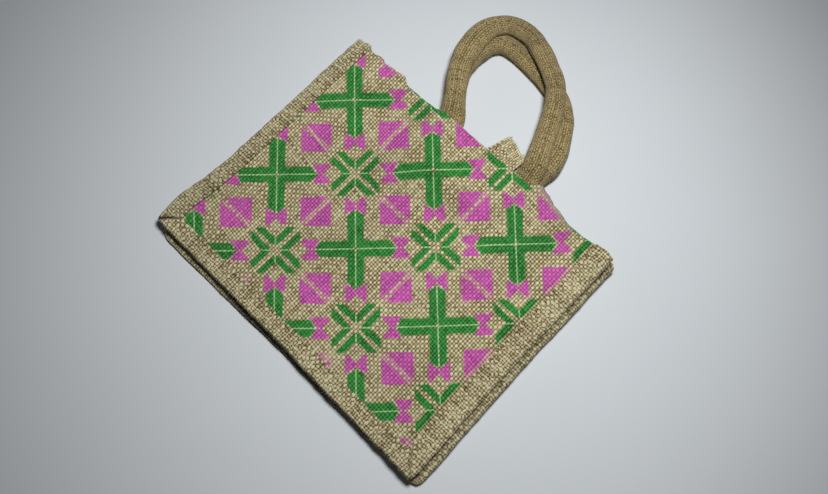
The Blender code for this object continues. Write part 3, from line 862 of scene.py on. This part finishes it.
def add(tree, kind, inputs=(), output=0, **settings):
    """Adds a node with its settings and its inputs, which are values or other nodes' outputs: in their
    order, or by their sockets. A kind's second word is its operation, and output may be a slice."""
    kind, *operation = kind.split()
    node = tree.nodes.new("ShaderNode" + kind)
    if operation:
        node.operation = operation[0]
    for name, value in settings.items():
        setattr(node, name, value)
    for socket, value in (inputs.items() if isinstance(inputs, dict) else enumerate(inputs)):
        if isinstance(value, bpy.types.NodeSocket):
            tree.links.new(value, node.inputs[socket])
        else:
            node.inputs[socket].default_value = value
    return node.outputs[output]


def set_of_threads(tree, across, along, seed, side, wide, raised, pale):
    """One of the weave's two sets of threads: the height of its threads, and a shade for each thread.
    across counts the threads and along runs down them; side says where they start to pass over, wide is
    half a thread's width, raised lifts the set over the other one and pale lightens it."""
    number = add(tree, "Math FLOOR", (across,))
    name = add(tree, "Math ADD", (number, seed))
    shade = add(tree, "TexWhiteNoise", {"W": name}, noise_dimensions="1D")
    # each thread has its own slubs, about five threads long
    apart = add(tree, "Math MULTIPLY", (name, 7.3))
    down = add(tree, "Math MULTIPLY", (along, 0.22))
    place = add(tree, "CombineXYZ", (apart, down))
    slub = add(tree, "TexNoise", {"Vector": place, "Scale": 1.0, "Detail": 2.0})
    width = add(tree, "Math MULTIPLY_ADD", (shade, THREADS_DIFFER, wide - (THREADS_DIFFER + SLUB) / 2))
    width = add(tree, "Math MULTIPLY_ADD", (slub, SLUB, width))
    # a round back across the thread, and a wave along it
    from_middle = add(tree, "Math FRACT", (across,))
    from_middle = add(tree, "Math SUBTRACT", (from_middle, 0.5))
    share = add(tree, "Math DIVIDE", (from_middle, width))
    crown = add(tree, "Math MULTIPLY", (share, share))
    crown = add(tree, "Math SUBTRACT", (1.0, crown))
    crown = add(tree, "Math MAXIMUM", (crown, 0.0))
    crown = add(tree, "Math SQRT", (crown,))
    phase = add(tree, "Math SUBTRACT", (along, number))
    phase = add(tree, "Math MULTIPLY_ADD", (phase, math.pi, -math.pi / 2))
    wave = add(tree, "Math COSINE", (phase,))
    wave = add(tree, "Math MULTIPLY_ADD", (wave, WAVE * side, raised))
    height = add(tree, "Math MULTIPLY_ADD", (crown, 1 - WAVE, wave))
    # beside the thread it is -1, below everything
    solid = add(tree, "Math GREATER_THAN", (crown, 0.02))
    height = add(tree, "Math ADD", (height, 1.0))
    height = add(tree, "Math MULTIPLY_ADD", (height, solid, -1.0))
    shade = add(tree, "Math ADD", (shade, pale))
    return height, add(tree, "Math ADD", (shade, slub))


def plain_weave(tree, stray_share):
    """The height of a plain weave, from 0 in its open corners to 1, the shade of the thread on top, and
    the fibres along it. stray_share is how far the threads wander, as a share of their pitch."""
    threads = add(tree, "UVMap", uv_map="threads")
    push = add(tree, "TexNoise", {"Vector": threads, "Scale": 0.6, "Detail": 1.0}, "Color")
    push = add(tree, "VectorMath SUBTRACT", (push, (0.5, 0.5, 0.5)))
    # the noise reaches about a quarter to each side
    threads = add(tree, "VectorMath MULTIPLY_ADD", (push, (4 * stray_share, 4 * stray_share, 0.0), threads))
    u, v = add(tree, "SeparateXYZ", (threads,), slice(2))
    warp, warp_shade = set_of_threads(tree, u, v, 3.0, 1, WARP_WIDE, ON_TOP, PALER)
    weft, weft_shade = set_of_threads(tree, v, u, 503.0, -1, WEFT_WIDE, -ON_TOP, -PALER)
    over = add(tree, "Math GREATER_THAN", (warp, weft))
    height = add(tree, "Math MAXIMUM", (warp, weft))
    height = add(tree, "Math MAXIMUM", (height, 0.0))
    shade = add(tree, "Mix", {0: over, 2: weft_shade, 3: warp_shade})
    # every crossing takes the light a little differently
    crossing = add(tree, "VectorMath FLOOR", (threads,))
    speck = add(tree, "TexWhiteNoise", {"Vector": crossing}, noise_dimensions="2D")
    shade = add(tree, "Math MULTIPLY_ADD", (speck, SPECK, shade))
    shade = add(tree, "Math ADD", (shade, -SPECK / 2))
    # fibres run down the warp and along the weft, about 0.05 mm apart
    down = add(tree, "Mapping", {"Vector": threads, "Scale": (9.0, 1.2, 1.0)})
    down = add(tree, "TexNoise", {"Vector": down, "Detail": 3.0})
    aside = add(tree, "Mapping", {"Vector": threads, "Scale": (1.2, 9.0, 1.0)})
    aside = add(tree, "TexNoise", {"Vector": aside, "Detail": 3.0})
    return height, shade, add(tree, "Mix", {0: over, 2: aside, 3: down})


def jute(tree, height, shade, fibres, tones, contrast):
    """The colour of jute threads, with painted shade in the open corners and a painted highlight on the
    crowns, and uneven from thread to thread and along the fibres. tones are the dark, the middle and the
    light one."""
    level = add(tree, "Math MULTIPLY_ADD", (shade, contrast, -contrast))
    # the weave's height gives painted shade in the open corners and a painted highlight on the crowns
    level = add(tree, "Math ADD", (height, level))
    streak = add(tree, "Math ADD", (fibres, -0.5))
    level = add(tree, "Math MULTIPLY_ADD", (streak, 0.5, level))
    tone = add(tree, "ValToRGB", (level,))
    stops = tone.node.color_ramp.elements
    stops.new(0.56)
    for stop, position, text in zip(stops, (0.12, 0.56, 1.0), tones):
        stop.position = position
        stop.color = colour(text)
    return tone


def cloth_material(name, tones, contrast=0.24, depth=0.45, stray_share=0.0, printed=False):
    """Plain-woven jute: matt, coarse and hairy, so it has hardly any gloss and a soft sheen at the edges.
    depth is the relief of its threads in millimetres, over that of the mesh."""
    material = bpy.data.materials.new(name)
    material.use_nodes = True
    tree = material.node_tree
    shader = tree.nodes["Principled BSDF"]
    height, shade, fibres = plain_weave(tree, stray_share)
    tone = jute(tree, height, shade, fibres, tones, contrast)
    if printed:
        tone = print_over(tree, tone, height, shade, fibres)
    # dark knots in the print, and painted shade on the bindings: in the stitch pits, the gaping mitres,
    # along the foot and down the left side
    knots_and_painted_shade = add(tree, "Attribute", output="Fac", attribute_name="knots_and_painted_shade")
    tone = add(tree, "Mix", {0: knots_and_painted_shade, 6: tone, 7: colour("1A1307")}, **COLOURS)
    # wide, weak patches of about 35 mm, as jute is never dyed evenly
    where = add(tree, "TexCoord", output="Object")
    patches = add(tree, "TexNoise", {"Vector": where, "Scale": 28.0, "Detail": 3.0})
    patches = add(tree, "MapRange", {"Value": patches, "From Min": 0.3, "From Max": 0.7, "To Min": 0.88,
                                     "To Max": 1.1})
    tone = add(tree, "Mix", {0: 1.0, 6: tone, 7: patches}, blend_type="MULTIPLY", **COLOURS)
    tree.links.new(tone, shader.inputs["Base Color"])
    shader.inputs["Roughness"].default_value = 0.88
    shader.inputs["Specular IOR Level"].default_value = 0.25
    shader.inputs["Sheen Weight"].default_value = 0.12
    shader.inputs["Sheen Roughness"].default_value = 0.5
    relief = add(tree, "Math MULTIPLY_ADD", (fibres, 0.18, height))
    bump = add(tree, "Bump", {"Height": relief, "Strength": 1.0, "Distance": depth * MM})
    tree.links.new(bump, shader.inputs["Normal"])
    return material


def print_figures(tree):
    """How far inside the figures' edges a point is, in repeats: the green ones, the pink ones and the whole
    squares; and how far it is from the middle line of a green bar. Crosses and eight-barred stars take
    turns on the lattice, with diamonds between them and bows at the crosses' ends."""
    flat = add(tree, "UVMap", uv_map="motif")
    push = add(tree, "TexNoise", {"Vector": flat, "Scale": 45.0}, "Color")
    push = add(tree, "VectorMath SUBTRACT", (push, (0.5, 0.5, 0.5)))
    motif = add(tree, "VectorMath MULTIPLY_ADD", (push, (0.03, 0.03, 0.0), flat))
    # a crossing of two threads takes the ink nearly as a whole, which steps the edges
    aside = add(tree, "UVMap", uv_map="threads")
    aside = add(tree, "VectorMath FRACTION", (aside,))
    aside = add(tree, "VectorMath SUBTRACT", (aside, (0.5, 0.5, 0.0)))
    step = 0.5 * PITCH / REPEAT
    aside = add(tree, "Mapping", {"Vector": aside, "Rotation": (0.0, 0.0, math.pi / 4),
                                  "Scale": (step, -step, 0.0)})
    motif = add(tree, "VectorMath SUBTRACT", (motif, aside))
    nearest = add(tree, "VectorMath ADD", (motif, (0.5, 0.5, 0.0)))
    nearest = add(tree, "VectorMath FLOOR", (nearest,))
    # the distances from the nearest figure's middle along the lattice's two directions, stepped and plain
    sides = []
    for point in (motif, flat):
        away = add(tree, "VectorMath SUBTRACT", (point, nearest))
        away = add(tree, "VectorMath ABSOLUTE", (away,))
        sides += add(tree, "SeparateXYZ", (away,), slice(2))
    a, b, flat_a, flat_b = sides
    odd = add(tree, "Math ADD", add(tree, "SeparateXYZ", (nearest,), slice(2)))
    odd = add(tree, "Math FLOORED_MODULO", (odd, 2.0))
    low = add(tree, "Math MINIMUM", (a, b))
    high = add(tree, "Math MAXIMUM", (a, b))
    apart = add(tree, "Math SUBTRACT", (high, low))
    # the distance from a cross's middle along its bars, also from beside the star next to it
    beyond = add(tree, "Math SUBTRACT", (1.0, high))
    run = add(tree, "Mix", {0: odd, 2: high, 3: beyond})
    # the distances along a cross's bar to its point, and to the two slanted ends of the bow round it
    point = add(tree, "Math MULTIPLY_ADD", (run, -1.0, 0.51))
    bow_start = add(tree, "Math MULTIPLY_ADD", (run, 1.0, -0.524))
    bow_notch = add(tree, "Math MULTIPLY_ADD", (run, -1.0, 0.588))
    # a diamond is parted in two along the line between its two stars, wider towards its corners
    both = add(tree, "Math ADD", (a, b))
    edges = add(tree, "Math SUBTRACT", (1.0, both))
    even = add(tree, "Math SUBTRACT", (a, b))
    halfway = add(tree, "Mix", {0: odd, 2: edges, 3: even})
    halfway = add(tree, "Math ABSOLUTE", (halfway,))
    corner = add(tree, "Math SUBTRACT", (low, 0.5))
    corner = add(tree, "Math ABSOLUTE", (corner,))
    parting = add(tree, "Math MULTIPLY_ADD", (corner, -0.11, -0.021))
    # each figure is bounded by lines: a distance, its slope and where it starts
    figures = {
        "cross": ((low, -1.0, 0.104), (low, -0.7, point), (high, 1.0, -0.022)),
        "star": ((apart, 0.707, -0.026), (apart, -0.707, 0.112), (high, -1.0, 0.302), (high, 1.0, -0.068)),
        "bow": ((low, -1.0, 0.132), (low, 0.6, bow_start), (low, 0.85, bow_notch), (run, -1.0, 0.668),
                (low, 1.0, -0.006)),
        "square": ((low, 1.0, -0.306), (high, 1.0, -0.306)),
        "diamond": ((low, 1.0, -0.306), (high, 1.0, -0.306), (halfway, 0.707, parting))}
    areas = {}
    for figure, bounds in figures.items():
        for bound in bounds:
            inside = add(tree, "Math MULTIPLY_ADD", bound)
            if figure in areas:
                inside = add(tree, "Math MINIMUM", (inside, areas[figure]))
            areas[figure] = inside
    green = add(tree, "Mix", {0: odd, 2: areas["cross"], 3: areas["star"]})
    pink = add(tree, "Math MAXIMUM", (areas["diamond"], areas["bow"]))
    return green, pink, areas["square"], add(tree, "Math MINIMUM", (flat_a, flat_b))


def print_over(tree, tone, height, shade, fibres):
    """Two screen-printed inks over the bare jute's tone."""
    green, pink, square, hair = print_figures(tree)
    # a border line of green, which shows where the fold lies just below it
    edge = add(tree, "Attribute", output="Fac", attribute_name="edge")
    edge = add(tree, "Math MULTIPLY_ADD", (edge, 0.04, -0.02))
    green = add(tree, "Math MAXIMUM", (green, edge))
    # a breath of pink in the parting
    tint = add(tree, "Math MULTIPLY", (square, 40.0), use_clamp=True)
    tint = add(tree, "Math MULTIPLY", (tint, BREATH))
    tone = add(tree, "Mix", {0: tint, 6: tone, 7: colour("DC74B4")}, **COLOURS)
    # the threads' relief and fibres show in the inks too: the fibres and the threads' shades as they are,
    # the relief as painted shade in the open corners and a painted highlight on the crowns
    level = add(tree, "Math MULTIPLY_ADD", (fibres, 0.7, -0.62))
    level = add(tree, "Math MULTIPLY_ADD", (shade, 0.22, level))
    level = add(tree, "Math ADD", (height, level), use_clamp=True)
    inks = {}
    for name, (deep, light, contrast) in INKS.items():
        share = add(tree, "Math MULTIPLY_ADD", (level, contrast, INK_LEVEL * (1 - contrast)),
                    use_clamp=True)
        inks[name] = add(tree, "Mix", {0: share, 6: colour(deep), 7: colour(light)}, **COLOURS)
    # hair lines along the middles of the green bars, where the screen let only a little ink through
    hair = add(tree, "MapRange", {"Value": hair, "From Min": 0.0125, "From Max": 0.005, "To Min": 0.0,
                                  "To Max": 0.95})
    green_ink = add(tree, "Mix", {0: hair, 6: inks["green"], 7: inks["thin"]}, **COLOURS)
    # the inks sit on the threads' crowns, so their edges are ragged
    worn = add(tree, "Attribute", output="Fac", attribute_name="worn")
    ragged = add(tree, "Math MULTIPLY_ADD", (height, 0.6, 0.05))
    for area, ink in ((green, green_ink), (pink, inks["pink"])):
        area = add(tree, "Math SUBTRACT", (area, worn))
        cover = add(tree, "Math MULTIPLY_ADD", (area, INK_EDGE, ragged), use_clamp=True)
        tone = add(tree, "Mix", {0: cover, 6: tone, 7: ink}, **COLOURS)
    # a fold worn smooth at the mouth, greyed and with the inks rubbed over it
    veil = add(tree, "Attribute", output="Fac", attribute_name="veil")
    veil = add(tree, "Math MULTIPLY", (veil, VEIL))
    return add(tree, "Mix", {0: veil, 6: tone, 7: colour("A2987F")}, **COLOURS)


def floor_material():
    """Smooth matt board, pale and slightly cool, which takes soft shadows."""
    material = bpy.data.materials.new("pale_board")
    material.use_nodes = True
    tree = material.node_tree
    shader = tree.nodes["Principled BSDF"]
    where = add(tree, "TexCoord", output="Object")
    mottle = add(tree, "TexNoise", {"Vector": where, "Scale": 5.0, "Detail": 2.0})
    tone = add(tree, "Mix", {0: mottle, 6: colour("D7DCE0"), 7: colour("DDE2E6")}, **COLOURS)
    tree.links.new(tone, shader.inputs["Base Color"])
    shader.inputs["Roughness"].default_value = 0.7
    shader.inputs["Specular IOR Level"].default_value = 0.2
    return material


# ---- the stage ----

def aim(thing, place, target, roll=0.0):
    """Puts a camera or a lamp at its place and turns it to its target, in the frame's millimetres."""
    place, target = Vector(place) * MM, Vector(target) * MM
    thing.location = place
    turn = (target - place).to_track_quat("-Z", "Y") @ Quaternion((0, 0, 1), math.radians(roll))
    thing.rotation_euler = turn.to_euler()
    bpy.context.scene.collection.objects.link(thing)


def camera():
    """Looks down at the bag from beside its foot; the focal length is the photo's, in 828 x 494 pixels."""
    focal = 760.0
    width = 828.0
    data = bpy.data.cameras.new("camera")
    data.sensor_width = 36.0
    data.lens = focal / width * data.sensor_width
    view = bpy.data.objects.new("camera", data)
    aim(view, (127.09, -164.84, 607.28), (17.29, -39.9, 0.0), 2.39)
    bpy.context.scene.camera = view


def lights():
    """One small soft lamp close above the handles, as its short shadows show, and a weak even fill."""
    key = bpy.data.lights.new("lamp", "SPOT")
    key.energy = 13.1
    key.spot_size = math.radians(115.6)
    key.spot_blend = 1.0
    key.shadow_soft_size = 0.07
    aim(bpy.data.objects.new("lamp", key), (33.0, 75.0, 590.0), (9.0, -23.0, 0.0))
    world = bpy.data.worlds.new("studio")
    world.use_nodes = True
    background = world.node_tree.nodes["Background"]
    background.inputs["Color"].default_value = colour("EEF2F6")
    background.inputs["Strength"].default_value = 0.035
    bpy.context.scene.world = world


def floor():
    """A wide board just under the surface that the bag lies on."""
    bpy.ops.mesh.primitive_plane_add(size=4.0, location=(0, 0, -0.1 * MM))
    board = bpy.context.object
    board.name = "floor"
    board.data.materials.append(floor_material())


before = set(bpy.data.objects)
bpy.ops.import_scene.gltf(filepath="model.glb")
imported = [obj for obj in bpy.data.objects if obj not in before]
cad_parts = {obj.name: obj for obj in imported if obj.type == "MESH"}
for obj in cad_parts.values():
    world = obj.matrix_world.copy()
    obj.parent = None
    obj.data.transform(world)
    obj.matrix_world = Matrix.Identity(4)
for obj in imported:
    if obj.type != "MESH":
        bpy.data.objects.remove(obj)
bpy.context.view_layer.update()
bpy.ops.object.select_all(action="DESELECT")
bpy.context.scene.view_settings.view_transform = "Standard"
camera()
lights()
floor()

# dry, open burlap: pale threads with dark gaps between them, and inks that the weave shows through
printed_jute = cloth_material("printed_plain_weave_jute", ("241B09", "8D7B51", "D8D0AA"), printed=True)
# the same cloth without print, for the back and the gusset
plain_jute = cloth_material("plain_weave_jute", ("2A200C", "917E53", "D7CFA8"))
# cut across and unhemmed, so its threads work loose: uneven, with darker gaps
tab_jute = cloth_material("raw_edged_plain_weave_jute", ("1E1608", "907C50", "DBD3AB"), contrast=0.42,
                          stray_share=0.24)
# folded and sewn through, so its threads are pulled about and its tone is a shade darker
binding_jute = cloth_material("binding_plain_weave_jute", ("261D0C", "8A784F", "D8D0AA"), contrast=0.34,
                              stray_share=0.32)
# finer and tighter cloth, browner and without open gaps, so it reads as a dense grain
handle_jute = cloth_material("handle_fine_weave_jute", ("2C2212", "7A6840", "B4A274"), contrast=0.36,
                             depth=0.42, stray_share=0.3)

front = dress(front_panel(), printed_jute, "front_panel")
back = dress(back_panel(), plain_jute, "back_panel")
strip = dress(gusset(), plain_jute, "gusset")
front_edge = binding("front_edge_binding", FRONT_RIM, FRONT_CORNER, MOUTH_LINE, FRONT_FOOT, FRONT_COVER,
                     True, 50)
front_edge = dress(front_edge, binding_jute, "front_binding")
back_edge = binding("back_edge_binding", BACK_RIM, BACK_CORNER, BACK_MOUTH_LINE, BACK_FOOT, BACK_COVER,
                    False, 70)
back_edge = dress(back_edge, binding_jute, "back_binding")
front_handle = handle("padded_handle_front", FRONT_ROUTE, (), 80)
front_handle = dress(front_handle, handle_jute, "handle_front")
back_handle = handle("padded_handle_back", BACK_ROUTE, HANDLE_RISE, 90)
back_handle = dress(back_handle, handle_jute, "handle_back")
short_strip = dress(tab(), tab_jute, "tab")
